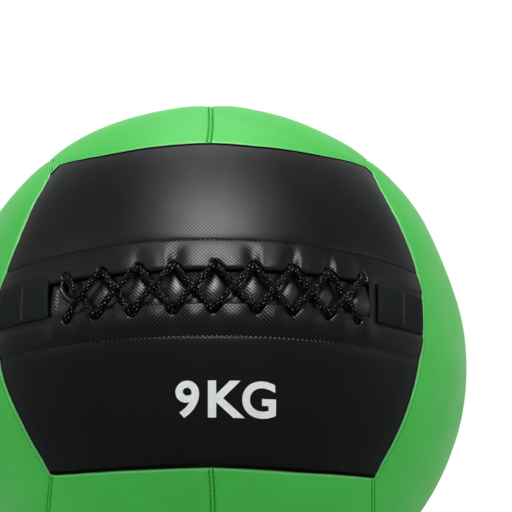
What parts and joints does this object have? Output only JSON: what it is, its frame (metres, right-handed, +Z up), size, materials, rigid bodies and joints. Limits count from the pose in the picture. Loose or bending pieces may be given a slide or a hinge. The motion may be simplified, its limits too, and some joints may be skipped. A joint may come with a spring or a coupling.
{
  "type": "wall ball",
  "caption": "Soft, heavy exercise ball for throwing at a wall: sewn vinyl panels over a stuffed liner with a weight bag at its core, laced shut at the front.",
  "frame": {"origin": "middle of the ball's footprint, on the floor that it rests on", "axes": "+Z up; -Y towards the laced slit, which looks slightly up; +X to the right of someone who faces the slit"},
  "size_m": [0.349, 0.3507, 0.3449],
  "materials": {
    "black_vinyl": "black vinyl with a fine diagonal emboss, soft gloss",
    "green_vinyl": "smooth green vinyl, satin",
    "webbing": "black twill webbing, matt",
    "braided_cord": "black round braid with light flecks",
    "liner_cloth": "plain undyed cloth",
    "packed_fibre": "packed textile fibre, off white",
    "bag_canvas": "unbleached canvas",
    "iron_sand": "loose dark grains"
  },
  "bodies": {
    "root": {"front_upper_panel": "black_vinyl", "front_lower_panel": "black_vinyl", "back_upper_panel": "black_vinyl", "back_lower_panel": "black_vinyl", "top_left_panel": "green_vinyl", "top_right_panel": "green_vinyl", "bottom_left_panel": "green_vinyl", "bottom_right_panel": "green_vinyl", "left_front_panel": "green_vinyl", "left_back_panel": "green_vinyl", "right_front_panel": "green_vinyl", "right_back_panel": "green_vinyl", "slit_lace": "braided_cord", "slit_tongue": "black_vinyl", "webbing_tab_left": "webbing", "webbing_tab_right": "webbing", "upper_slit_facing": "black_vinyl", "lower_slit_facing": "black_vinyl", "inner_liner": "liner_cloth", "fibre_upper": "packed_fibre", "fibre_lower": "packed_fibre", "weight_bag": "bag_canvas", "iron_sand": "iron_sand", "bag_tie": "braided_cord"}
  },
  "joints": []
}
